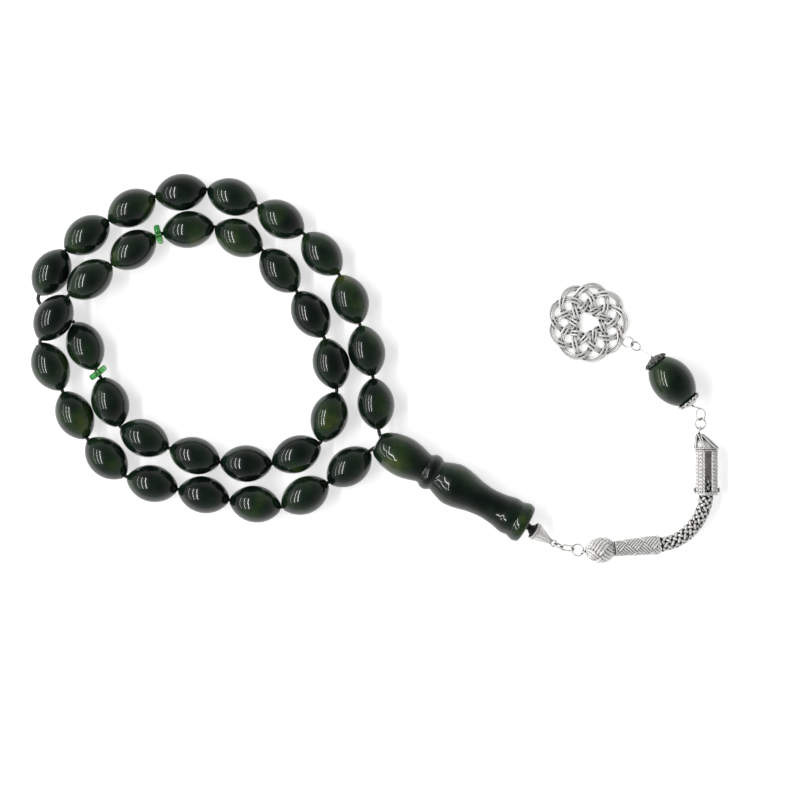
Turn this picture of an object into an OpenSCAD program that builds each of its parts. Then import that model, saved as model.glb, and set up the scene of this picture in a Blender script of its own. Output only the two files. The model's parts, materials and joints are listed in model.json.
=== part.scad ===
// Misbaha: a strand of 33 prayer beads with two spacer discs, gathered in an imam
// bead from which a woven silver tassel hangs, laid out flat in two loose turns.
// Units are millimetres and +Z is up. Everything rests on the plane z = 0, and the
// origin is under the middle of the whole strand.

/* [Beads] */
// Length of a prayer bead
bead_l = 13.6; // [12:0.1:13.6]
// Greatest diameter of a prayer bead
bead_d = 10; // [9:0.1:10]
// Diameter of the small flat round the hole
bead_tip_d = 2; // [2:0.1:2.4]
// Diameter of the hole through a bead
bead_bore_d = 1.6; // [1.4:0.1:1.8]
// Diameter of a spacer disc
disc_d = 5.4; // [4:0.1:6]
// Thickness of a spacer disc
disc_t = 1.6; // [1.2:0.1:1.6]

/* [String] */
// Diameter of the string
string_d = 1; // [0.8:0.1:1]
// Diameter of the knot that ties the string off under the imam
knot_d = 3; // [2.4:0.1:3]

/* [Imam bead] */
// Diameter of the hole that both string ends share
imam_bore_d = 2.8; // [2.7:0.1:3.2]
// Diameter of that hole where it opens at the top
imam_mouth_d = 4.3; // [4.2:0.1:4.5]

/* [Tassel] */
// Diameter of the wire of every link
wire_d = 0.55; // [0.4:0.05:0.55]
// Greatest diameter of the woven ball
ball_d = 6.8; // [6:0.1:7]
// Diameter of the braid
braid_d = 4.2; // [3.6:0.1:4.2]
// Outer diameter of the slotted sleeve
slotted_d = 6.1; // [5.8:0.1:6.4]
// Length of the slotted sleeve
slotted_l = 12.4; // [11:0.1:12.4]
// Diameter of the drop bead
drop_d = 11.2; // [10:0.1:11.2]
// Length of the drop bead
drop_l = 15.4; // [15:0.1:15.6]

/* [Medallion] */
// Outer diameter of the medallion
medallion_d = 22; // [21:0.1:22]
// Thickness of the medallion
medallion_t = 2.2; // [1.8:0.1:2.4]
// Number of arcs that the medallion is laced from
arcs = 10; // [8:1:12]
// Width of each of the medallion's strands
strand_w = 1.2; // [1:0.1:1.4]

/* [Hidden] */

fine = 64;

// Places are first laid out round a point near the middle of the strand. This is the
// exact middle, which placed() brings to the origin.
strand_middle = [-0.26, 0.3, 0];

// The string's route: where one bead's end meets the next, from the imam's mouth
// round the outer turn, under bead 25 to the inner turn, and back to the imam.
outer_turn = [
    [0.5, -16.5, 5], [-1, -2, 5], [-4.5, 12, 5], [-10, 25.5, 5], [-19.5, 36.5, 5],
    [-32, 44, 5], [-45.5, 48.5, 5], [-59.5, 46.5, 5], [-72, 40, 5], [-83.5, 32, 5.5],
    [-91, 20, 4.5]
];

// The inner turn starts at bead 11, and a spacer disc parts beads 11 and 12.
bead_11 = [[-81, 12.5, 4], [-75.4, 0.1, 6.3]];
inner_turn = [
    [-73.9, -1.9, 6], [-69, -15.6, 5], [-55.6, -21.2, 5], [-42, -25, 5], [-28.1, -25.5, 5],
    [-15, -20, 5], [-10.5, -5.5, 5], [-14, 8.5, 5], [-21.5, 21, 5], [-30.5, 32, 5],
    [-43.5, 38.5, 5], [-57.5, 36.5, 5]
];

// The second spacer disc parts beads 22 and 23. Bead 24 rides on bead 10, and bead
// 25 crosses over the string to the outside.
last_turn = [
    [-59.5, 36, 5], [-71, 28, 7], [-82.2, 20, 8.2], [-90.6, 7.5, 6.3], [-84.2, -6, 5],
    [-77.8, -18.6, 5], [-67.2, -29, 5], [-53.2, -32.2, 5], [-39.6, -35, 5],
    [-25.6, -37.2, 5], [-12.9, -30.3, 5], [-1.9, -21.9, 5]
];

// Where the string dips under bead 25, from bead 10's end to bead 11's start.
dip = [
    [-91.2, 17.8, 3], [-89.5, 16.4, 1.3], [-87, 15.2, 0.6], [-84.8, 14.4, 0.8],
    [-83.2, 13.8, 1.5], [-82, 13.1, 2.6]
];

// The two ends run side by side down the imam's hole to the knot.
first_end = [
    [42, -43, 4.8], [41.3, -42.1, 5.3], [39.5, -40.6, 5.6], [5.6, -21.7, 6.1],
    [2.4, -19.9, 6.1], [1.4, -19.1, 6], [0.8, -18.2, 5.8], [0.6, -17.2, 5.3]
];
second_end = [
    [-0.7, -20.8, 5.4], [0.4, -20.6, 5.9], [1.6, -21, 6.1], [5, -22.8, 6.1],
    [39, -41.8, 5.6], [40.9, -42.7, 5.3], [41.7, -43.4, 4.6]
];
string_route = concat(
    first_end, outer_turn, dip, bead_11, inner_turn, last_turn, second_end
);

// Each bead's two ends, in the order in which they are strung.
bead_ends = concat(
    [for (k = [0:9]) [outer_turn[k], outer_turn[k + 1]]],
    [bead_11],
    [for (k = [0:10]) [inner_turn[k], inner_turn[k + 1]]],
    [for (k = [0:10]) [last_turn[k], last_turn[k + 1]]]
);
disc_ends = [[bead_11[1], inner_turn[0]], [inner_turn[11], last_turn[0]]];

// The imam lies on its belly and its base.
imam_top = [0, -19.5, 6.2];
imam_end = [40.2, -41.7, 5.6];
imam_l = norm(imam_end - imam_top);
knot_at = [42, -43.2, 4.6];

// The first links, from the cone cap's eye to the woven ball's. Headings turn about
// +Z from +X, and a tilt turns a ring about its own heading.
// The hook is how much nearer two linked rings' middles are than their two radii.
hook = wire_d + 0.06;
cone_tip = [46.9, -46.4, 3.4];
cone_heading = -30;
eye_r = 0.85;
small_r = 1.2;
small_heading = -20;
small_tilt = 110;
oval_r = 1.85;
oval_half_w = 1;
oval_heading = -8;
oval_tilt = 45;
round_r = 1.6;
round_heading = -18;
round_tilt = -20;
sleeve_heading = 6;
cone_eye = cone_tip + 0.7 * dir(cone_heading);
small_pivot = far_side(cone_eye, cone_heading, eye_r);
small_middle = next_middle(small_pivot, small_heading, small_r);
oval_pivot = far_side(small_middle, small_heading, small_r);
oval_middle = next_middle(oval_pivot, oval_heading, oval_r);
round_pivot = far_side(oval_middle, oval_heading, oval_r);
round_middle = next_middle(round_pivot, round_heading, round_r);
ball_pivot = far_side(round_middle, round_heading, round_r);
ball_eye = next_middle(ball_pivot, sleeve_heading, eye_r);

// The woven ball and its sleeve lie along one heading, then the braid bends round.
ball_l = 7.6;
ball_start = ball_eye + 0.6 * dir(sleeve_heading);
ball_end = ball_start + ball_l * dir(sleeve_heading);
sleeve_end = [76, -47.1, 2.8];
braid_gap = 0.5;
braid_joints = [
    [76.3, -47.1, 2.8], [79.9, -46.2, 2.8], [83.1, -44.2, 2.8], [85.7, -41.4, 2.8],
    [87.6, -38, 2.9], [88.5, -34.3, 3.1]
];

// The slotted sleeve points along +Y, and the joining link follows its cone.
slotted_start = [88.6, -33.8, 3.1];
slotted_end = slotted_start + [0, slotted_l, 0];
pin_d = 0.8;
pin_at = slotted_start + [0, 1.4, 0];
petal_tip = [86.6, -17, 3.2];
petal_heading = 80;
petal_tilt = 80;
petal_eye = petal_tip + 0.8 * dir(petal_heading);
joining_r = 1.45;
joining_heading = 85;
joining_tilt = 15;
joining_pivot = far_side(petal_eye, petal_heading, eye_r);
joining_middle = next_middle(joining_pivot, joining_heading, joining_r);

// The drop's wire: straight through the bead, and bent down to an eye at each end.
lower_r = 1.6;
lower_heading = 95;
lower_tilt = -50;
lower_pivot = far_side(joining_middle, joining_heading, joining_r);
lower_eye = next_middle(lower_pivot, lower_heading, lower_r);
drop_middle = [79.1, -3.2, 5.6];
drop_heading = 130;
drop_bore_d = 0.7;
drop_low = drop_middle - 8.7 * dir(drop_heading);
drop_high = drop_middle + 8.7 * dir(drop_heading);
lower_foot = far_side(lower_eye, lower_heading, lower_r);
upper_r = 1.35;
upper_heading = 150;
upper_tilt = 35;
upper_eye = [69.6, 6.3, 2];
upper_foot = far_side(upper_eye, upper_heading, -upper_r);

// The medallion hangs by a bail that passes through the upper eye.
bail_r = 1.6;
bail_heading = 153;
bail_tilt = -35;
bail_pivot = far_side(upper_eye, upper_heading, upper_r);
bail_middle = next_middle(bail_pivot, bail_heading, bail_r);
medallion_middle = [56.8, 12.7, 0];

// Working out places

function dir(heading) = [cos(heading), sin(heading), 0];

// The direction of a ring's wire at its far side, for a ring lying along heading
// and turned by tilt about that direction.
function wire_dir(heading, tilt) =
    [-sin(heading) * cos(tilt), cos(heading) * cos(tilt), sin(tilt)];

function far_side(middle, heading, r) = middle + r * dir(heading);

function next_middle(pivot, heading, r) = pivot + (r - hook) * dir(heading);

function two_digits(k) = k < 10 ? str("0", k) : str(k);

function bead_name(k) = str("bead_", two_digits(k));

// Places its children at the middle of a to b, with their +Z along that line.
module between(a, b) {
    d = b - a;
    translate((a + b) / 2)
        rotate([0, acos(d[2] / norm(d)), atan2(d[1], d[0])])
            children();
}

// Brings the middle of the whole strand over the origin.
module placed() {
    translate(-strand_middle) children();
}

// General shapes

module rod(a, b, d) {
    between(a, b) cylinder(h = norm(b - a), d = d, center = true, $fn = 24);
}

module torus(r, wire) {
    rotate_extrude($fn = 48) translate([r, 0]) circle(d = wire, $fn = 24);
}

// A ring of wire whose middle is given, along heading and turned by tilt.
module link(middle, heading, tilt, r) {
    translate(middle) rotate([0, 0, heading]) rotate([tilt, 0, 0]) torus(r, wire_d);
}

// An olive shape turned about Z: narrow bands along an arc from flat tip to flat tip.
module lemon(length, diameter, tip, bore) {
    bands = 18;
    sag = (diameter - tip) / 2;
    arc_r = (pow(length / 2, 2) + pow(sag, 2)) / (2 * sag);
    arc = [
        for (i = [0:bands])
            let (z = length * (i / bands - 0.5))
            [sqrt(pow(arc_r, 2) - pow(z, 2)) - arc_r + diameter / 2, z]
    ];
    rotate_extrude($fn = fine)
        polygon(concat([[bore / 2, -length / 2]], arc, [[bore / 2, length / 2]]));
}

// The strand

module prayer_bead(k) {
    color([0.03, 0.05, 0.04])
        between(bead_ends[k - 1][0], bead_ends[k - 1][1])
            lemon(bead_l, bead_d, bead_tip_d, bead_bore_d);
}

module spacer_disc(k) {
    color([0.35, 0.65, 0.2])
        between(disc_ends[k - 1][0], disc_ends[k - 1][1])
            difference() {
                cylinder(h = disc_t, d = disc_d, center = true, $fn = fine);
                cylinder(h = disc_t + 1, d = bead_bore_d, center = true, $fn = fine);
            }
}

// The string is one tube of eight sides, swept along its route.
module string_tube() {
    sides = 8;
    route = string_route;
    last = len(route) - 1;
    along = [
        for (i = [0:last])
            let (d = route[min(i + 1, last)] - route[max(i - 1, 0)]) d / norm(d)
    ];
    points = [
        for (i = [0:last])
            let (
                side = cross(along[i], [0, 0, 1]) / norm(cross(along[i], [0, 0, 1])),
                up = cross(side, along[i])
            )
            for (j = [0:sides - 1])
                route[i] + string_d / 2 * (cos(360 * j / sides) * side
                    + sin(360 * j / sides) * up)
    ];
    walls = [
        for (i = [0:last - 1])
            for (j = [0:sides - 1])
                let (next = (j + 1) % sides)
                [i * sides + j, i * sides + next, (i + 1) * sides + next, (i + 1) * sides + j]
    ];
    color([0.05, 0.05, 0.05])
        polyhedron(
            points = points,
            faces = concat(
                walls,
                [[for (j = [sides - 1:-1:0]) j]],
                [[for (j = [0:sides - 1]) last * sides + j]]
            )
        );
}

module end_knot() {
    color([0.05, 0.05, 0.05])
        translate(knot_at) sphere(d = knot_d, $fn = 32);
}

// Half the outline of the imam, from its flat top at y = 0 down to its base.
module imam_outline() {
    bulb_arc_r = 14.5;
    bulb_r = 5.55;
    belly_arc_r = 9.5;
    belly_r = 5.9;
    waist_arc_r = 19.9;
    waist_r = 4.2;
    intersection() {
        translate([bulb_r - bulb_arc_r, 7.9]) circle(bulb_arc_r, $fn = 2 * fine);
        union() {
            translate([1.1, 4]) circle(4.24, $fn = fine);
            translate([0, 4]) square([6, 10.6]);
        }
        square([7, 14.6]);
    }
    translate([3, 16.5]) circle(2.1, $fn = fine);
    intersection() {
        translate([belly_r - belly_arc_r, 23.8]) circle(belly_arc_r, $fn = 2 * fine);
        translate([0, 18]) square([7, 12]);
    }
    difference() {
        translate([0, 27.5]) square([5.15, 12]);
        translate([waist_r + waist_arc_r, 33.7]) circle(waist_arc_r, $fn = 2 * fine);
    }
    translate([3.2, 40.4]) circle(2.05, $fn = fine);
    translate([3.65, 44.1]) circle(2, $fn = fine);
    translate([0, 14]) square([waist_r - 0.2, imam_l - 14]);
}

module imam_bead() {
    color([0.03, 0.05, 0.04])
        between(imam_top, imam_end)
            translate([0, 0, -imam_l / 2])
                difference() {
                    rotate_extrude($fn = fine)
                        intersection() {
                            imam_outline();
                            square([10, imam_l]);
                        }
                    translate([0, 0, -1]) cylinder(h = imam_l + 2, d = imam_bore_d, $fn = fine);
                    translate([0, 0, -0.01])
                        cylinder(h = 3, d1 = imam_mouth_d, d2 = imam_bore_d, $fn = fine);
                }
}

// The tassel's chain

// A fluted cone over the knot: a hollow shell with a hole at its tip for the eye.
module cone_cap() {
    wall = 0.35;
    mouth_r = 2.35;
    tip_r = 0.6;
    cone_l = norm(cone_tip - knot_at);
    color("silver") {
        between(knot_at, cone_tip)
            translate([0, 0, -cone_l / 2])
                rotate_extrude($fn = fine)
                    polygon([
                        [mouth_r - wall, 0],
                        [mouth_r, 0],
                        [mouth_r - 0.15, 1.6],
                        [tip_r, cone_l],
                        [0, cone_l],
                        [0, cone_l - 0.6],
                        [mouth_r - 0.15 - wall, 1.6]
                    ]);
        link(cone_eye, cone_heading, 0, eye_r);
    }
}

module small_link() {
    color("silver") link(small_middle, small_heading, small_tilt, small_r);
}

// An oval ring: two half rings joined by two straight wires.
module oval_link() {
    straight = oval_r - oval_half_w;
    color("silver")
        translate(oval_middle) rotate([0, 0, oval_heading]) rotate([oval_tilt, 0, 0]) {
            for (end = [-1, 1]) {
                intersection() {
                    translate([end * straight, 0, 0]) torus(oval_half_w, wire_d);
                    translate([end * (straight + 5), 0, 0]) cube(10, center = true);
                }
                translate([0, end * oval_half_w, 0])
                    rotate([0, 90, 0])
                        cylinder(h = 2 * straight, d = wire_d, center = true, $fn = 24);
            }
        }
}

module round_link() {
    color("silver") link(round_middle, round_heading, round_tilt, round_r);
}

// A ball of woven wire, with a plain collar and an eye at the end that hangs.
module woven_ball() {
    collar_d = 3.4;
    collar_l = 1;
    color("silver") {
        between(ball_start, ball_end)
            difference() {
                union() {
                    lemon(ball_l, ball_d, collar_d, 0);
                    translate([0, 0, -ball_l / 2]) cylinder(h = collar_l, d = collar_d, $fn = fine);
                }
                translate([0, 0, ball_l / 2 - 2]) cylinder(h = 3, d = 2.4, $fn = fine);
            }
        link(ball_eye, sleeve_heading, 90, eye_r);
    }
}

// A tapered sleeve of woven wire that holds the start of the braid.
module woven_sleeve() {
    sleeve_l = norm(sleeve_end - ball_end);
    color("silver")
        between(ball_end, sleeve_end)
            translate([0, 0, -sleeve_l / 2])
                rotate_extrude($fn = fine)
                    polygon([
                        [1.3, 0.1],
                        [1.95, 0.1],
                        [2.1, 0.5],
                        [2.55, sleeve_l - 0.4],
                        [2.4, sleeve_l],
                        [1.9, sleeve_l],
                        [1.9, sleeve_l - 3],
                        [1.3, sleeve_l - 3]
                    ]);
}

// One bending stretch of the braid.
module braid(k) {
    a = braid_joints[k - 1];
    b = braid_joints[k];
    color("silver")
        between(a, b)
            lemon(norm(b - a) - braid_gap, braid_d, 1.8, 0);
}

// The braid's last stretch, which is pinned inside the slotted sleeve.
module braid_end() {
    start = braid_joints[5] + [0, braid_gap / 2, 0];
    color("silver")
        difference() {
            rod(start, start + [0, 7, 0], 3.2);
            rod(pin_at + [-5, 0, 0], pin_at + [5, 0, 0], pin_d + 0.06);
        }
}

// A tube with a lengthwise slot along its top.
module slotted_sleeve() {
    slot_w = 2.1;
    color("silver")
        difference() {
            rod(slotted_start, slotted_end, slotted_d);
            rod(slotted_start - [0, 1, 0], slotted_end + [0, 1, 0], slotted_d - 1.2);
            translate((slotted_start + slotted_end) / 2 + [0.3, 0, slotted_d / 2])
                cube([slot_w, slotted_l - 1.6, 3], center = true);
            rod(pin_at + [-5, 0, 0], pin_at + [5, 0, 0], pin_d + 0.06);
        }
}

module sleeve_pin() {
    head = [slotted_d / 2 + 0.1, 0, 0];
    color("silver") {
        rod(pin_at - head, pin_at + head, pin_d);
        rod(pin_at + head, pin_at + head + [0.4, 0, 0], 1.3);
        rod(pin_at - head - [0.4, 0, 0], pin_at - head, 1.3);
    }
}

// A skewed cone of petals that closes the slotted sleeve, with an eye at its tip.
module petal_cone() {
    sides = 32;
    reach = petal_tip - slotted_end;
    // Each ring's radius and its share of the way to the tip, outside and then inside.
    rings = [
        [slotted_d / 2, 0.02], [slotted_d / 2 - 0.4, 0.35], [1.5, 0.75], [0.7, 1],
        [0.35, 1], [1, 0.7], [slotted_d / 2 - 0.8, 0.32], [slotted_d / 2 - 0.5, 0.02]
    ];
    points = [
        for (ring = rings)
            for (j = [0:sides - 1])
                slotted_end + ring[1] * reach
                    + ring[0] * [cos(360 * j / sides), 0, sin(360 * j / sides)]
    ];
    walls = [
        for (i = [0:len(rings) - 1])
            for (j = [0:sides - 1])
                let (next = (j + 1) % sides, after = (i + 1) % len(rings))
                [i * sides + j, i * sides + next, after * sides + next, after * sides + j]
    ];
    color("silver") {
        polyhedron(points = points, faces = walls);
        link(petal_eye, petal_heading, petal_tilt, eye_r);
    }
}

module joining_link() {
    color("silver") link(joining_middle, joining_heading, joining_tilt, joining_r);
}

// The drop: a wire with an eye at each end runs through two caps and a bead.
module drop_wire() {
    color("silver") {
        link(lower_eye, lower_heading, lower_tilt, lower_r);
        link(upper_eye, upper_heading, upper_tilt, upper_r);
        for (ends = [[drop_low, drop_high], [drop_low, lower_foot], [drop_high, upper_foot]]) {
            rod(ends[0], ends[1], wire_d - 0.05);
        }
        for (bend = [drop_low, drop_high]) {
            translate(bend) sphere(d = wire_d + 0.05, $fn = 24);
        }
    }
}

module drop_bead() {
    color([0.03, 0.05, 0.04])
        between(drop_low, drop_high) lemon(drop_l, drop_d, 2.6, drop_bore_d);
}

// A cap over one end of the drop bead, with the drop's middle at the origin.
module drop_cap(end) {
    color("silver")
        between(drop_low, drop_high)
            mirror([0, 0, end])
                rotate_extrude($fn = fine)
                    polygon([
                        [3.3, 6.3],
                        [3.55, 6.45],
                        [2.6, 7.5],
                        [1.2, 8.2],
                        [drop_bore_d / 2, 8.3],
                        [drop_bore_d / 2, drop_l / 2 + 0.05],
                        [1.35, drop_l / 2 + 0.05]
                    ]);
}

// The medallion: overlapping rings laced round an open middle, with a bail.
module medallion() {
    arc_r = 3.7;
    pitch_r = medallion_d / 2 - arc_r - strand_w / 2;
    color("silver") {
        translate(medallion_middle)
            linear_extrude(medallion_t)
                for (k = [0:arcs - 1])
                    rotate(360 * k / arcs + bail_heading + 180)
                        translate([pitch_r, 0])
                            difference() {
                                circle(arc_r + strand_w / 2, $fn = fine);
                                circle(arc_r - strand_w / 2, $fn = fine);
                            }
        link(bail_middle, bail_heading, bail_tilt, bail_r);
    }
}

// One line or loop draws each node

for (k = [1:33]) {
    placed() prayer_bead(k);
}
for (k = [1:2]) {
    placed() spacer_disc(k);
}
placed() string_tube();  // string
placed() end_knot();
placed() imam_bead();
placed() cone_cap();
placed() small_link();
placed() oval_link();
placed() round_link();
placed() woven_ball();
placed() woven_sleeve();
for (k = [1:5]) {
    placed() braid(k);
}
placed() braid_end();
placed() slotted_sleeve();
placed() sleeve_pin();
placed() petal_cone();
placed() joining_link();
placed() drop_wire();
placed() drop_bead();
placed() drop_cap(0);  // lower_cap
placed() drop_cap(1);  // upper_cap
placed() medallion();
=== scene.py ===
"""The looks of a misbaha: 33 prayer beads on a black thread, an imam bead and a silver tassel.

Lengths are written in millimetres, in the same layout as the model, and placed in metres.
"""

import json
import math

import bpy
from mathutils import Matrix, Vector


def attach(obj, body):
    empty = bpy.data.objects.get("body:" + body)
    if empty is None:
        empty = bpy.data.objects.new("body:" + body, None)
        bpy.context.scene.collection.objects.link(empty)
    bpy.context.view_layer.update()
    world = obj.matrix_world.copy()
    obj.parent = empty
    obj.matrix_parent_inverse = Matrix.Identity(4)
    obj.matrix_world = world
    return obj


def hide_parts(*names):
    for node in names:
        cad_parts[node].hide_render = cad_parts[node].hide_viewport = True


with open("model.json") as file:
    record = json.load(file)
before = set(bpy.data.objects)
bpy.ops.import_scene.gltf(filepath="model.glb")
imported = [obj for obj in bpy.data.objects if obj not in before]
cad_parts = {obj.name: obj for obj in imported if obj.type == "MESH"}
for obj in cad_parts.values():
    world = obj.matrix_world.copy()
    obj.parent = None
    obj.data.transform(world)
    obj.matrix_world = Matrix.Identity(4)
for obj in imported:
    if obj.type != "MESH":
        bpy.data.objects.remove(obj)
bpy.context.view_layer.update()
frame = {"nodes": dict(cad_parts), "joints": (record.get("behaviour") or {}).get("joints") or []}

joints = {joint["name"]: joint for joint in frame["joints"]}

# The model's own values

STRAND_MIDDLE = Vector((-0.26, 0.3, 0))
BEAD_L, BEAD_D, BEAD_TIP_D, BORE_D = 13.6, 10, 2, 1.6
DISC_D, DISC_T = 5.4, 1.6
STRING_D = 1
WIRE_D = 0.55
# How much nearer the middles of two linked rings are than their two radii.
HOOK = WIRE_D + 0.06
EYE_R = 0.85
IMAM_BORE_D, IMAM_MOUTH_D = 2.8, 4.3
IMAM_TOP, IMAM_END = (0, -19.5, 6.2), (40.2, -41.7, 5.6)
CONE_TIP, CONE_HEADING = (46.9, -46.4, 3.4), -30
BALL_L, BALL_D = 7.6, 6.8
SLEEVE_HEADING, SLEEVE_END = 6, (76, -47.1, 2.8)
BRAID_START = (74, -47.3, 2.8)
SLOTTED_D, SLOTTED_L, SLOTTED_START = 6.1, 12.4, (88.6, -33.8, 3.1)
PETAL_TIP, PETAL_HEADING, PETAL_TILT = (86.6, -17, 3.2), 80, 80
DROP_L, DROP_D, DROP_TIP_D, DROP_BORE_D = 15.4, 11.2, 2.6, 0.7
BAIL_R, BAIL_HEADING, BAIL_TILT = 1.6, 153, -35
MEDALLION_MIDDLE = (56.8, 12.7, 0.95)

# The model's own pieces that are seen as they are, in silver.
KEPT_NODES = ["small_link", "oval_link", "round_link", "sleeve_pin", "joining_link", "drop_wire"]

# The string's route, from the knot round both turns and back to the knot.
ROUTE = [
    (42, -43, 4.8), (41.3, -42.1, 5.3), (39.5, -40.6, 5.6), (5.6, -21.7, 6.1),
    (2.4, -19.9, 6.1), (1.4, -19.1, 6), (0.8, -18.2, 5.8), (0.6, -17.2, 5.3),
    (0.5, -16.5, 5), (-1, -2, 5), (-4.5, 12, 5), (-10, 25.5, 5), (-19.5, 36.5, 5),
    (-32, 44, 5), (-45.5, 48.5, 5), (-59.5, 46.5, 5), (-72, 40, 5), (-83.5, 32, 5.5),
    (-91, 20, 4.5),
    (-91.2, 17.8, 3), (-89.5, 16.4, 1.3), (-87, 15.2, 0.6), (-84.8, 14.4, 0.8),
    (-83.2, 13.8, 1.5), (-82, 13.1, 2.6),
    (-81, 12.5, 4), (-75.4, 0.1, 6.3),
    (-73.9, -1.9, 6), (-69, -15.6, 5), (-55.6, -21.2, 5), (-42, -25, 5), (-28.1, -25.5, 5),
    (-15, -20, 5), (-10.5, -5.5, 5), (-14, 8.5, 5), (-21.5, 21, 5), (-30.5, 32, 5),
    (-43.5, 38.5, 5), (-57.5, 36.5, 5),
    (-59.5, 36, 5), (-71, 28, 7), (-82.2, 20, 8.2), (-90.6, 7.5, 6.3), (-84.2, -6, 5),
    (-77.8, -18.6, 5), (-67.2, -29, 5), (-53.2, -32.2, 5), (-39.6, -35, 5),
    (-25.6, -37.2, 5), (-12.9, -30.3, 5), (-1.9, -21.9, 5),
    (-0.7, -20.8, 5.4), (0.4, -20.6, 5.9), (1.6, -21, 6.1), (5, -22.8, 6.1),
    (39, -41.8, 5.6), (40.9, -42.7, 5.3), (41.7, -43.4, 4.6),
]


# Working out places


def placed(x, y, z):
    """A point of the model's layout, in metres in the shared frame."""
    return (Vector((x, y, z)) - STRAND_MIDDLE) / 1000


def direction(heading):
    angle = math.radians(heading)
    return Vector((math.cos(angle), math.sin(angle), 0))


def pivot(name):
    return Vector(joints[name]["pos_m"])


def facing(point, way):
    """The matrix that puts the origin at point and turns +Z to way."""
    turn = Vector(way).to_track_quat("Z", "Y").to_matrix().to_4x4()
    return Matrix.Translation(point) @ turn


def between(a, b):
    return facing((a + b) / 2, b - a)


def on_joint(name):
    return facing(pivot(name), joints[name]["axis"])


def smoothed(points, step, reach):
    """The polyline resampled every step and averaged over reach points to each side."""
    walk = [points[0]]
    for a, b in zip(points, points[1:]):
        count = max(1, round((b - a).length / step))
        walk += [a.lerp(b, i / count) for i in range(1, count + 1)]
    soft = []
    for i in range(len(walk)):
        near = min(reach, i, len(walk) - 1 - i)
        window = walk[i - near : i + near + 1]
        soft.append(sum(window, Vector((0, 0, 0))) / len(window))
    return soft


# Making meshes and wires


def skin(name, rows, material, closed=True):
    """A smooth mesh over rows of points, each a closed loop, and joined end to end if closed."""
    width = len(rows[0])
    points = [point for row in rows for point in row]
    faces = []
    for i in range(len(rows) if closed else len(rows) - 1):
        after = (i + 1) % len(rows)
        for j in range(width):
            side = (j + 1) % width
            faces.append((i * width + j, i * width + side, after * width + side, after * width + j))
    mesh = bpy.data.meshes.new(name)
    mesh.from_pydata(points, [], faces)
    mesh.validate()
    mesh.shade_smooth()
    mesh.set_sharp_from_angle(angle=math.radians(50))
    piece = bpy.data.objects.new(name, mesh)
    bpy.context.scene.collection.objects.link(piece)
    piece.data.materials.append(material)
    return piece


def turned(name, outline, matrix, material, sides=96, relief=None):
    """A shape turned about +Z from (radius, height) points in mm.

    relief(angle, height) gives how far the surface stands out, in mm.
    """
    rows = []
    for radius, height in outline:
        row = []
        for j in range(sides):
            angle = math.tau * j / sides
            r = radius + (relief(angle, height) if relief else 0)
            row.append(matrix @ (Vector((r * math.cos(angle), r * math.sin(angle), height)) / 1000))
        rows.append(row)
    return skin(name, rows, material)


def wires(name, paths, radius, material, closed=False):
    """Round wires of radius mm along paths of points in metres."""
    curve = bpy.data.curves.new(name, "CURVE")
    curve.dimensions = "3D"
    curve.bevel_depth = radius / 1000
    curve.bevel_resolution = 3
    curve.use_fill_caps = True
    for path in paths:
        spline = curve.splines.new("POLY")
        spline.points.add(len(path) - 1)
        for point, place in zip(spline.points, path):
            point.co = (*place, 1)
        spline.use_cyclic_u = closed
        spline.use_smooth = True
    piece = bpy.data.objects.new(name, curve)
    bpy.context.scene.collection.objects.link(piece)
    curve.materials.append(material)
    return piece


def circle(matrix, radius, steps=48):
    return [
        matrix @ (Vector((math.cos(a), math.sin(a), 0)) * radius / 1000)
        for a in (math.tau * i / steps for i in range(steps))
    ]


def ring(middle, heading, tilt, radius):
    """The loop of a ring whose middle is in metres, along heading and turned by tilt."""
    turn = Matrix.Rotation(math.radians(heading), 4, "Z") @ Matrix.Rotation(
        math.radians(tilt), 4, "X"
    )
    return circle(Matrix.Translation(middle) @ turn, radius)


def stands_for(piece, body, *nodes):
    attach(piece, body)
    if nodes:
        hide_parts(*nodes)


# Materials


def blank_material(name, roughness):
    material = bpy.data.materials.new(name)
    material.use_nodes = True
    shader = material.node_tree.nodes["Principled BSDF"]
    shader.inputs["Roughness"].default_value = roughness
    return material, material.node_tree.nodes, material.node_tree.links, shader


def noise(nodes, links, scale, detail, stretch=(1, 1, 1)):
    """Noise in the object's own coordinates, squeezed by stretch."""
    places = nodes.new("ShaderNodeTexCoord")
    mapping = nodes.new("ShaderNodeMapping")
    texture = nodes.new("ShaderNodeTexNoise")
    mapping.inputs["Scale"].default_value = stretch
    texture.inputs["Scale"].default_value = scale
    texture.inputs["Detail"].default_value = detail
    links.new(places.outputs["Object"], mapping.inputs["Vector"])
    links.new(mapping.outputs["Vector"], texture.inputs["Vector"])
    return texture.outputs["Fac"]


def ramp(nodes, links, value, stops):
    """Colours that follow a value, from (position, colour) stops."""
    colours = nodes.new("ShaderNodeValToRGB")
    colours.color_ramp.elements[0].position = stops[0][0]
    colours.color_ramp.elements[0].color = (*stops[0][1], 1)
    colours.color_ramp.elements[1].position = stops[-1][0]
    colours.color_ramp.elements[1].color = (*stops[-1][1], 1)
    for position, colour in stops[1:-1]:
        colours.color_ramp.elements.new(position).color = (*colour, 1)
    links.new(value, colours.inputs["Fac"])
    return colours.outputs["Color"]


def bump(nodes, links, height, shader, distance):
    node = nodes.new("ShaderNodeBump")
    node.inputs["Strength"].default_value = 0.5
    node.inputs["Distance"].default_value = distance
    links.new(height, node.inputs["Height"])
    links.new(node.outputs["Normal"], shader.inputs["Normal"])


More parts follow.
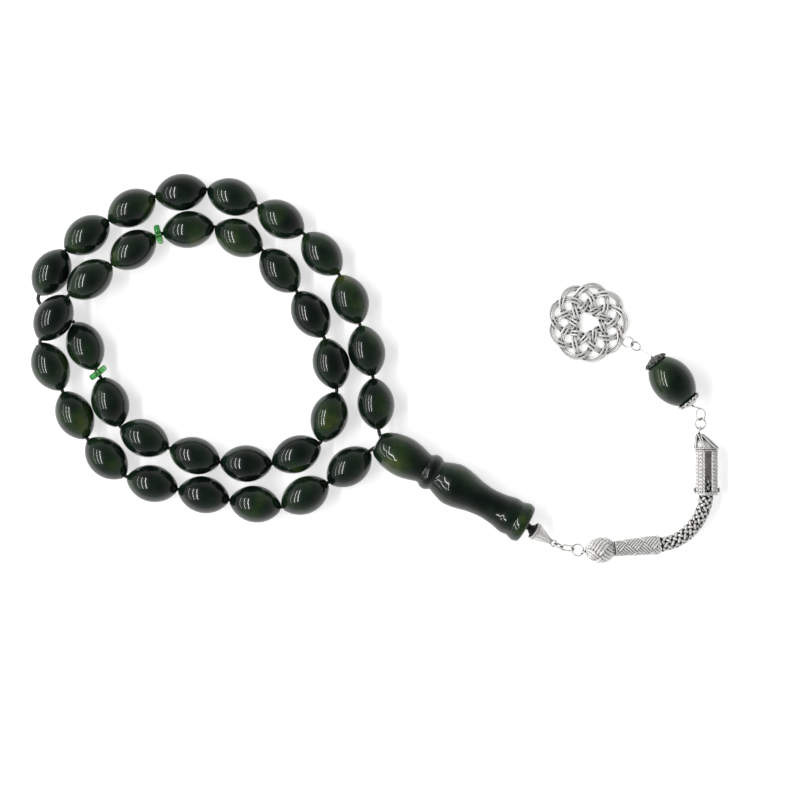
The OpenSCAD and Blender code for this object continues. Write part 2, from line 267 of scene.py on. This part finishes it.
def resin_material():
    """Polished resin: near black green, with a few clearer olive clouds."""
    material, nodes, links, shader = blank_material("resin", 0.06)
    clouds = noise(nodes, links, 110, 4, (1, 1, 0.7))
    stops = [
        (0.4, (0.003, 0.008, 0.005)),
        (0.54, (0.007, 0.02, 0.009)),
        (0.64, (0.018, 0.04, 0.012)),
        (0.76, (0.06, 0.08, 0.018)),
    ]
    links.new(ramp(nodes, links, clouds, stops), shader.inputs["Base Color"])
    shader.inputs["IOR"].default_value = 1.5
    shader.inputs["Specular IOR Level"].default_value = 0.36
    shader.inputs["Coat Weight"].default_value = 0.25
    shader.inputs["Coat Roughness"].default_value = 0.25
    waves = noise(nodes, links, 260, 2)
    bump(nodes, links, waves, shader, 0.00008)
    return material


def glass_material():
    """Clear green glass, a little uneven in colour."""
    material, nodes, links, shader = blank_material("green_glass", 0.05)
    tint = noise(nodes, links, 300, 2)
    stops = [(0.35, (0.05, 0.4, 0.08)), (0.65, (0.22, 0.62, 0.2))]
    links.new(ramp(nodes, links, tint, stops), shader.inputs["Base Color"])
    shader.inputs["Transmission Weight"].default_value = 0.75
    shader.inputs["IOR"].default_value = 1.45
    return material


def silver_material(name, dark, bright):
    """Silver with painted shade: bright on the ridges, darkened in the hollows where the ambient
    occlusion node finds other surfaces near.
    """
    material, nodes, links, shader = blank_material(name, 0.36)
    # Painted shade: the base colour follows ambient occlusion, so it is dark wherever nearby
    # surfaces would hold back light.
    hollow = nodes.new("ShaderNodeAmbientOcclusion")
    hollow.samples = 8
    hollow.inputs["Distance"].default_value = 0.001
    painted_hollow_shade = ramp(
        nodes, links, hollow.outputs["AO"], [(0.7, dark), (0.86, bright)]
    )
    patina = noise(nodes, links, 900, 3)
    tone = ramp(nodes, links, patina, [(0.3, (0.86, 0.85, 0.83)), (0.6, (1, 1, 1))])
    mix = nodes.new("ShaderNodeMix")
    mix.data_type = "RGBA"
    mix.blend_type = "MULTIPLY"
    mix.inputs["Factor"].default_value = 1
    links.new(painted_hollow_shade, mix.inputs[6])
    links.new(tone, mix.inputs[7])
    links.new(mix.outputs[2], shader.inputs["Base Color"])
    shader.inputs["Metallic"].default_value = 0.15
    bump(nodes, links, patina, shader, 0.00004)
    return material


def thread_material():
    """Black twisted thread, with a slight sheen."""
    material, nodes, links, shader = blank_material("thread", 0.7)
    fibres = noise(nodes, links, 2500, 3)
    stops = [(0.3, (0.008, 0.008, 0.008)), (0.7, (0.035, 0.035, 0.033))]
    links.new(ramp(nodes, links, fibres, stops), shader.inputs["Base Color"])
    shader.inputs["Sheen Weight"].default_value = 0.3
    bump(nodes, links, fibres, shader, 0.0001)
    return material


def floor_material():
    """A plain white sheet."""
    material, nodes, links, shader = blank_material("floor", 0.9)
    paper = noise(nodes, links, 60, 2)
    stops = [(0.3, (0.93, 0.93, 0.93)), (0.7, (0.95, 0.95, 0.95))]
    links.new(ramp(nodes, links, paper, stops), shader.inputs["Base Color"])
    shader.inputs["Specular IOR Level"].default_value = 0
    shader.inputs["Emission Color"].default_value = (1, 1, 1, 1)
    shader.inputs["Emission Strength"].default_value = 0.62
    return material


# The camera and the string


def add_camera():
    """Straight above, with the whole strand in a square view."""
    view_width = 214.5
    distance = 650
    middle_x, middle_y, bead_height = 6.2, -8.2, 5
    data = bpy.data.cameras.new("camera")
    data.sensor_width = 36
    data.lens = data.sensor_width * distance / view_width
    camera = bpy.data.objects.new("camera", data)
    bpy.context.scene.collection.objects.link(camera)
    camera.location = placed(middle_x, middle_y, bead_height + distance)
    bpy.context.scene.camera = camera


def add_string(material):
    path = smoothed([placed(*point) for point in ROUTE], 0.0008, 2)
    piece = wires("strand_string", [path], STRING_D / 2, material)
    stands_for(piece, "strand", "string")


def add_knot(material):
    """Turns of thread wound over one another where the two ends are tied."""
    middle = pivot("link_1_cone_swing")
    ways = [
        (1, -0.5, 0), (1, -0.5, 0.6), (1, -0.5, -0.6),
        (0.3, 1, 0.4), (0.5, 0.9, -0.7), (0, 0.2, 1),
    ]
    loops = [circle(facing(middle, way), 1) for way in ways]
    stands_for(wires("tied_knot", loops, 0.48, material, closed=True), "strand", "end_knot")


# Beads


def lemon_outline(length, diameter, tip, bore, steps=40):
    """An arc from tip to tip, with softened rims and the hole's wall."""
    sag = (diameter - tip) / 2
    arc_r = ((length / 2) ** 2 + sag**2) / (2 * sag)
    outline = []
    for i in range(steps + 1):
        z = length / 2 * math.sin(math.pi * (i / steps - 0.5))
        r = math.sqrt(arc_r**2 - z**2) - (arc_r - diameter / 2)
        outline.append((r, z))
    rim = min(0.08, (tip - bore) / 8)
    top = [(bore / 2 + rim, length / 2), (bore / 2, length / 2 - rim)]
    walls = [(bore / 2, 0)]
    bottom = [(bore / 2, -length / 2 + rim), (bore / 2 + rim, -length / 2)]
    return outline + top + walls + bottom


def add_prayer_beads(material):
    outline = lemon_outline(BEAD_L, BEAD_D, BEAD_TIP_D, BORE_D)
    for k in range(1, 34):
        node = f"bead_{k:02d}"
        piece = turned(f"polished_{node}", outline, on_joint(f"spin_{node}"), material, 64)
        stands_for(piece, node, node)


def add_spacer_discs(material):
    """Small glass discs with rounded edges, faceted a little round the rim."""
    edge = [
        (DISC_D / 2 - 0.5 + 0.5 * math.cos(a), DISC_T / 2 * math.sin(a))
        for a in (math.pi * (i / 12 - 0.5) for i in range(13))
    ]
    outline = [(BORE_D / 2, -DISC_T / 2), *edge, (BORE_D / 2, DISC_T / 2)]

    def facets(angle, height):
        return -0.12 * abs(math.sin(4.5 * angle))

    for k in (1, 2):
        node = f"spacer_disc_{k}"
        matrix = on_joint(f"spin_{node}")
        piece = turned(f"glass_{node}", outline, matrix, material, 72, facets)
        stands_for(piece, node, node)


def imam_radius(profile, height):
    """The profile's radius at a height, on a straight line between its points."""
    for (h0, r0), (h1, r1) in zip(profile, profile[1:]):
        if height <= h1:
            share = (height - h0) / (h1 - h0)
            return r0 + (r1 - r0) * share
    return profile[-1][1]


def add_imam(material):
    """The long turned bead: a bulb, a ring, a belly, a waist, a small ring and a base."""
    top = placed(*IMAM_TOP)
    end = placed(*IMAM_END)
    length = (end - top).length * 1000
    # Heights from the top, each with its radius. Smoothing softens the edges afterwards.
    profile = [
        (0, 2.35), (0.3, 2.9), (1, 3.6), (2.1, 4.2), (3.75, 4.9), (5.9, 5.36), (7.2, 5.52),
        (9, 5.5), (10.7, 5.24), (12.3, 4.8), (13.4, 4.45), (14.2, 4.2), (14.7, 4.2),
        (15.1, 4.6), (15.7, 4.95), (16.5, 5.08), (17.3, 4.95), (17.9, 4.6), (18.4, 4.22),
        (19, 4.5), (20.4, 5.1), (22.5, 5.78), (23.8, 5.88), (25.7, 5.66), (28, 5.15), (30, 4.62),
        (32.7, 4.28), (34.3, 4.22), (37, 4.48), (38.6, 4.8), (39, 4.95), (40.4, 5.22), (41.6, 5.1),
        (42.2, 4.98), (42.8, 5.25), (44.1, 5.62), (45.2, 5.4), (46, 4.9), (length, 4.6),
    ]
    steps = 150
    outline = [
        (imam_radius(profile, length * i / steps) - 0.03, length * (i / steps - 0.5))
        for i in range(steps + 1)
    ]
    bore, mouth = IMAM_BORE_D / 2, IMAM_MOUTH_D / 2
    outline += [(bore, length / 2), (bore, 0), (bore, -length / 2 + 2.2), (mouth, -length / 2)]
    piece = turned("polished_imam", outline, between(top, end), material, 96)
    smooth = piece.modifiers.new("soften", "SMOOTH")
    smooth.iterations = 2
    smooth.factor = 0.4
    stands_for(piece, "strand", "imam_bead")


# The tassel's chain


def add_cone_cap(material):
    """A fluted cone over the knot, with a beaded rim and an eye at its tip."""
    start = pivot("link_1_cone_swing")
    tip = placed(*CONE_TIP)
    length = (tip - start).length * 1000
    matrix = between(start, tip)
    low, high = -length / 2, length / 2
    outer = [(2.35, low), (2.35, low + 0.4), (2.25, low + 1.4), (1.8, low + 2.6)]
    outer += [(1.3, low + 4), (0.8, high - 0.5), (0.55, high), (0.05, high)]
    inner = [(0.05, high - 0.6), (1, low + 4), (1.5, low + 2.6), (1.9, low + 1.4), (2, low)]

    def flutes(angle, height):
        return -0.16 * abs(math.sin(6 * angle)) if height > low + 0.5 else 0

    body = turned("fluted_cone", outer + inner, matrix, material, 144, flutes)
    stands_for(body, "cone", "cone_cap")
    rims = [
        circle(matrix @ Matrix.Translation((0, 0, height / 1000)), 2.3)
        for height in (low + 0.2, low + 0.8)
    ]
    stands_for(wires("cone_rims", rims, 0.16, material, closed=True), "cone")
    eye_middle = pivot("link_2_small_ring") - EYE_R / 1000 * direction(CONE_HEADING)
    eye = [ring(eye_middle, CONE_HEADING, 0, EYE_R)]
    # Its wire is a little thinner than the rings', to leave the first one room to swing.
    stands_for(wires("cone_eye", eye, 0.24, material, closed=True), "cone")


def basket_relief(angle, height, cells, cell_l, ridges, depth):
    """Straps of parallel wires that cross over and under at 45 degrees."""
    across = cells * angle / math.tau
    along = height / cell_l
    p, q = across + along, across - along
    over = (math.floor(p) + math.floor(q)) % 2
    run, width = (p, q) if over else (q, p)
    ridge = abs(math.sin(math.pi * ridges * (width % 1)))
    swell = math.sin(math.pi * (run % 1))
    return depth * (0.6 * ridge + 0.55 * swell**0.5 - 0.7)


def add_woven_end(material):
    """The woven ball with its eye and collar, and the woven sleeve behind it."""
    heading = direction(SLEEVE_HEADING)
    eye_middle = pivot("link_5_woven_end") + (EYE_R - HOOK) / 1000 * heading
    start = eye_middle + 0.0006 * heading
    end = start + BALL_L / 1000 * heading
    ball_matrix = between(start, end)
    rows = 110
    outline = []
    for i in range(rows + 1):
        z = BALL_L * (i / rows - 0.5)
        bulge = math.sqrt(max(0, 1 - (z / (BALL_L / 2 + 0.35)) ** 2))
        outline.append((max(1.5, BALL_D / 2 * bulge), z))
    outline += [(0.9, BALL_L / 2), (0.9, -BALL_L / 2)]

    def ball_relief(angle, z):
        if abs(z) >= BALL_L / 2 - 0.3:
            return 0
        return basket_relief(angle, z + 0.3, 3, 6.2, 5, 0.5)

    ball = turned("woven_ball_wires", outline, ball_matrix, material, 240, ball_relief)
    stands_for(ball, "woven_end", "woven_ball")
    collar = [
        circle(ball_matrix @ Matrix.Translation((0, 0, z / 1000)), r)
        for z, r in ((-3.7, 1.45), (-3.3, 1.65), (-2.9, 1.7), (3.6, 1.7))
    ]
    stands_for(wires("ball_collar", collar, 0.22, material, closed=True), "woven_end")
    eye = [ring(eye_middle, SLEEVE_HEADING, 90, EYE_R)]
    stands_for(wires("ball_eye", eye, WIRE_D / 2, material, closed=True), "woven_end")

    sleeve_end = placed(*SLEEVE_END)
    length = (sleeve_end - end).length * 1000
    matrix = between(end, sleeve_end)
    rows = 150
    outline = []
    for i in range(rows + 1):
        share = i / rows
        r = 2 + 0.5 * min(1, share * 1.15)
        outline.append((r, length * (share - 0.5) + 0.08 * (1 - share)))
    outline += [(1.9, length / 2), (1.9, length / 2 - 3)]
    outline += [(1.3, length / 2 - 3.2), (1.3, 0.1 - length / 2)]

    def sleeve_relief(angle, z):
        if abs(z) >= length / 2 - 0.35:
            return 0
        return basket_relief(angle, z + 0.4, 3, 4.6, 5, 0.42)

    sleeve = turned("woven_sleeve_wires", outline, matrix, material, 240, sleeve_relief)
    stands_for(sleeve, "woven_end", "woven_sleeve")
    ends = ((0.3 - length / 2, 1.95), (length / 2 - 0.25, 2.45), (length / 2 - 0.6, 2.45))
    rims = [circle(matrix @ Matrix.Translation((0, 0, z / 1000)), r) for z, r in ends]
    stands_for(wires("sleeve_rims", rims, 0.17, material, closed=True), "woven_end")


# The braid


def braid_line():
    """The points of the braid's centre line, and which of them its ends and bends are."""
    end_l = 4.5
    steps = 40
    marks = [placed(*BRAID_START)]
    marks += [pivot(f"braid_bend_{k}") for k in range(1, 7)]
    marks.append(marks[-1] + Vector((0, end_l / 1000, 0)))
    points = []
    stops = []
    for i in range(len(marks) - 1):
        a = marks[max(0, i - 1)]
        b, c = marks[i], marks[i + 1]
        d = marks[min(len(marks) - 1, i + 2)]
        stops.append(len(points))
        for j in range(steps):
            t = j / steps
            points.append(
                0.5 * (2 * b + (c - a) * t + (2 * a - 5 * b + 4 * c - d) * t**2
                       + (3 * b - a - 3 * c + d) * t**3)
            )
    points.append(marks[-1])
    stops.append(len(points) - 1)
    return points, stops


def braid_strands(points):
    """Six wires each way, plaited over and under round the centre line."""
    each_way = 6
    lead, middle_r, over_r = 11, 1.45, 0.24
    strands = [[] for _ in range(2 * each_way)]
    run = 0
    for i, point in enumerate(points):
        ahead = points[min(i + 1, len(points) - 1)]
        behind = points[max(i - 1, 0)]
        run += (point - behind).length * 1000
        along = (ahead - behind).normalized()
        side = along.cross(Vector((0, 0, 1))).normalized()
        up = side.cross(along)
        turn = math.tau * run / lead
        lift = over_r * math.cos(each_way * turn)
        for k in range(2 * each_way):
            hand = 1 if k < each_way else -1
            angle = hand * turn + math.tau * k / each_way + math.pi / 8
            r = (middle_r + hand * lift) / 1000
            strands[k].append(point + r * (math.cos(angle) * side + math.sin(angle) * up))
    return strands


def add_braid(material):
    points, stops = braid_line()
    strands = braid_strands(points)
    bodies = ["woven_end"] + [f"braid_{k}" for k in range(1, 6)] + ["slotted"]
    # Steps left out beside each stop. The first bend is close to the sleeve's mouth, so
    # the wires need more room there.
    room = [1, 4, 1, 1, 1, 1, 1, 1]
    for k, body in enumerate(bodies):
        cut = slice(stops[k] + room[k], stops[k + 1] + 1 - room[k + 1])
        piece = wires(f"plaited_wires_{k}", [strand[cut] for strand in strands], 0.4, material)
        core = wires(f"plait_core_{k}", [points[cut]], 0.8, material)
        if body.startswith("braid"):
            stands_for(piece, body, body)
        elif body == "slotted":
            stands_for(piece, body, "braid_end")
        else:
            stands_for(piece, body)
        stands_for(core, body)


# The slotted sleeve and its cone


def herringbone(angle, along, columns, pitch, depth):
    """Short slanted ridges whose slant swaps from column to column."""
    column = columns * angle / math.tau
    zigzag = abs(column % 2 - 1)
    ridge = abs(math.sin(math.pi * (along / pitch + zigzag * 1.2)))
    seam = min(1, 6 * abs(column % 1 - 0.5) + 0.25)
    return depth * (ridge * seam - 0.5)


def add_slotted_sleeve(material):
    """A tube of herringbone strips, open along its top, with a plain rim at each end."""
    start = placed(*SLOTTED_START)
    outer, inner = SLOTTED_D / 2, SLOTTED_D / 2 - 0.6
    half_slot = math.radians(21)
    slot_at = math.pi / 2 - math.asin(0.3 / outer)
    steps = 220
    rows = []
    for i in range(101):
        along = 0.1 + (SLOTTED_L - 0.2) * i / 100
        loop = []
        for j in range(steps + 1):
            angle = slot_at + half_slot + (math.tau - 2 * half_slot) * j / steps
            r = outer - 0.1 + herringbone(angle, along, 14, 1, 0.26)
            loop.append((r, angle))
        for j in range(steps, -1, -10):
            loop.append((inner, slot_at + half_slot + (math.tau - 2 * half_slot) * j / steps))
        rows.append([
            start + Vector((r * math.cos(a), along, r * math.sin(a))) / 1000 for r, a in loop
        ])
    shell = skin("herringbone_sleeve", rows, material, closed=False)
    stands_for(shell, "slotted", "slotted_sleeve")
    rims = [
        circle(facing(start + Vector((0, along / 1000, 0)), (0, 1, 0)), outer - 0.15)
        for along in (0.25, 0.65, SLOTTED_L - 0.25)
    ]
    stands_for(wires("slotted_rims", rims, 0.2, material, closed=True), "slotted")


def add_petal_cone(material):
    """A skewed cone of petals, each edged with wire, and an eye at its tip."""
    base = placed(*SLOTTED_START) + Vector((0, SLOTTED_L / 1000, 0))
    reach = placed(*PETAL_TIP) - base
    sides = 140

    def spot(share, radius, angle):
        around = Vector((math.cos(angle), 0, math.sin(angle)))
        return base + share * reach + radius / 1000 * around

    def radius_at(share):
        return (SLOTTED_D / 2 - 0.15) * (1 - share) ** 0.8 + 0.5

    rows = []
    for i in range(31):
        share = 0.02 + 0.94 * i / 30
        row = []
        for j in range(sides):
            angle = math.tau * j / sides
            fold = 0.3 * abs(math.sin(3.5 * angle))
            row.append(spot(share, radius_at(share) - 0.1 - fold, angle))
        rows.append(row)
    for i in range(30, -1, -3):
        share = 0.02 + 0.9 * i / 30
        radius = max(0.15, radius_at(share) - 0.75)
        rows.append([spot(share, radius, math.tau * j / sides) for j in range(sides)])
    stands_for(skin("petal_shell", rows, material), "slotted", "petal_cone")
    loops = []
    for k in range(7):
        loop = []
        for i in range(33):
            t = i / 32
            share = 0.04 + 0.86 * math.sin(math.pi * t) ** 0.8
            angle = math.tau * (k + 0.5) / 7 + 0.4 * math.cos(math.pi * t)
            loop.append(spot(share, radius_at(share), angle))
        loops.append(loop)
    stands_for(wires("petal_edges", loops, 0.2, material, closed=True), "slotted")
    eye_middle = pivot("link_6_joining_ring") - EYE_R / 1000 * direction(PETAL_HEADING)
    eye = [ring(eye_middle, PETAL_HEADING, PETAL_TILT, EYE_R)]
    stands_for(wires("petal_eye", eye, WIRE_D / 2, material, closed=True), "slotted")


# The drop


def add_drop(resin, silver, shaded_cap_silver):
    """The drop bead, a cap edged with grains below it and a dark scalloped cap above, its darkness
    painted shade.
    """
    matrix = on_joint("spin_drop_bead")
    outline = lemon_outline(DROP_L, DROP_D, DROP_TIP_D, DROP_BORE_D)
    stands_for(turned("polished_drop", outline, matrix, resin, 96), "drop_bead", "drop_bead")
    half = DROP_L / 2

    def scallops(angle, z):
        return -0.5 * math.sin(4 * angle) ** 2 * (8.4 - abs(z)) / 1.8

    # The upper cap takes the much darker copy of the silver: painted shade.
    for name, sign, material in (("lower", -1, silver), ("upper", 1, shaded_cap_silver)):
        outline = [
            (3.15, 6.62), (3.4, 6.72), (2.85, 7.3), (2.1, 7.85), (1.2, 8.25), (0.4, 8.35),
            (0.4, half + 0.1), (1.4, half + 0.1), (2.2, 7.35),
        ]
        outline = [(r, sign * z) for r, z in outline]
        cap = turned(f"{name}_flower_cap", outline, matrix, material, 160, scallops)
        stands_for(cap, "drop_bead", f"{name}_cap")
        rim = []
        for k in range(8):
            angle = math.tau * (k + 0.5) / 8
            spot = Vector((2.95 * math.cos(angle), 2.95 * math.sin(angle), sign * 7.15)) / 1000
            way = Vector((math.cos(angle), math.sin(angle), sign))
            rim.append(circle(matrix @ facing(spot, way), 0.5, 20))
        edging = wires(f"{name}_cap_loops", rim, 0.24, material, closed=True)
        stands_for(edging, "drop_bead")


# The medallion


def add_medallion(material):
    """A flat knot: one strand of two wires, laced over and under round an open middle."""
    middle = placed(*MEDALLION_MIDDLE)
    loops, turns = 9, 4
    middle_r, swing_r = 6.65, 3.5
    inner_star = 0.5
    strand_w, lift = 0.9, 0.45
    steps = 640

    def centre(angle):
        phase = loops * angle / turns
        height = lift * math.sin((turns - 1) * phase)
        star = inner_star * math.cos(3 * angle) * (1 - math.cos(phase)) / 2
        r = middle_r + swing_r * math.cos(phase) + star
        return Vector((r * math.cos(angle), r * math.sin(angle), height))

    pair = [[], []]
    for i in range(steps):
        angle = math.tau * turns * i / steps
        step = centre(angle + 0.002) - centre(angle - 0.002)
        side = step.cross(Vector((0, 0, 1))).normalized()
        for path, way in zip(pair, (-1, 1)):
            path.append(middle + (centre(angle) + way * strand_w / 2 * side) / 1000)
    knot = wires("laced_medallion", pair, 0.38, material, closed=True)
    stands_for(knot, "medallion", "medallion")
    bail_middle = pivot("link_8_medallion") + (BAIL_R - HOOK) / 1000 * direction(BAIL_HEADING)
    bail = [ring(bail_middle, BAIL_HEADING, BAIL_TILT, BAIL_R)]
    stands_for(wires("bail", bail, WIRE_D / 2, material, closed=True), "medallion")
    grip = bail_middle + BAIL_R / 1000 * direction(BAIL_HEADING)
    across = direction(BAIL_HEADING - 90)
    twists = [
        circle(facing(grip + 0.001 * shift * across, across), 0.42, 20)
        for shift in (-0.45, 0, 0.45)
    ]
    stands_for(wires("bail_twists", twists, 0.16, material, closed=True), "medallion")


# Light and floor


def add_strip(name, elevation, power, length, width):
    """A long narrow lamp to the left of the strand, aimed at its middle."""
    distance = 0.7
    angle = math.radians(elevation)
    data = bpy.data.lights.new(name, "AREA")
    data.shape = "RECTANGLE"
    data.size = width
    data.size_y = length
    data.energy = power
    lamp = bpy.data.objects.new(name, data)
    bpy.context.scene.collection.objects.link(lamp)
    place = Vector((-distance * math.cos(angle), 0, distance * math.sin(angle)))
    lean = Matrix.Rotation(angle - math.pi / 2, 4, "Y")
    lamp.matrix_world = Matrix.Translation(place) @ lean


def add_world():
    """Soft light that is brightest near the horizon and dim overhead."""
    world = bpy.data.worlds.new("studio")
    bpy.context.scene.world = world
    world.use_nodes = True
    nodes, links = world.node_tree.nodes, world.node_tree.links
    places = nodes.new("ShaderNodeTexCoord")
    parts = nodes.new("ShaderNodeSeparateXYZ")
    links.new(places.outputs["Generated"], parts.inputs["Vector"])
    stops = [(0.1, (0.7, 0.7, 0.7)), (0.5, (0.32, 0.32, 0.32)), (0.85, (0.1, 0.1, 0.1))]
    links.new(ramp(nodes, links, parts.outputs["Z"], stops), nodes["Background"].inputs["Color"])
    nodes["Background"].inputs["Strength"].default_value = 1


def add_floor(material):
    reach, level = 3, -0.0002
    mesh = bpy.data.meshes.new("floor")
    corners = [
        (-reach, -reach, level), (reach, -reach, level),
        (reach, reach, level), (-reach, reach, level),
    ]
    mesh.from_pydata(corners, [], [(0, 1, 2, 3)])
    floor = bpy.data.objects.new("floor", mesh)
    bpy.context.scene.collection.objects.link(floor)
    mesh.materials.append(material)


def main():
    resin, glass = resin_material(), glass_material()
    silver = silver_material("silver", (0.01, 0.009, 0.008), (0.98, 0.97, 0.95))
    # A much darker copy of the silver, painted shade for the upper drop cap.
    shaded_cap_silver = silver_material("silver_painted_dark", (0.005, 0.005, 0.005), (0.1, 0.1, 0.09))
    thread = thread_material()
    add_camera()
    add_string(thread)
    add_knot(thread)
    add_prayer_beads(resin)
    add_spacer_discs(glass)
    add_imam(resin)
    add_cone_cap(silver)
    add_woven_end(silver)
    add_braid(silver)
    add_slotted_sleeve(silver)
    add_petal_cone(silver)
    add_drop(resin, silver, shaded_cap_silver)
    add_medallion(silver)
    for node in KEPT_NODES:
        kept = frame["nodes"][node].data
        kept.materials.clear()
        kept.materials.append(silver)
    add_floor(floor_material())
    add_world()
    add_strip("upper strip", 60, 2.2, 0.8, 0.02)
    add_strip("middle strip", 44, 1.4, 0.8, 0.018)
    add_strip("lower strip", 26, 0.6, 0.8, 0.016)
    bpy.context.scene.view_settings.view_transform = "Standard"


main()
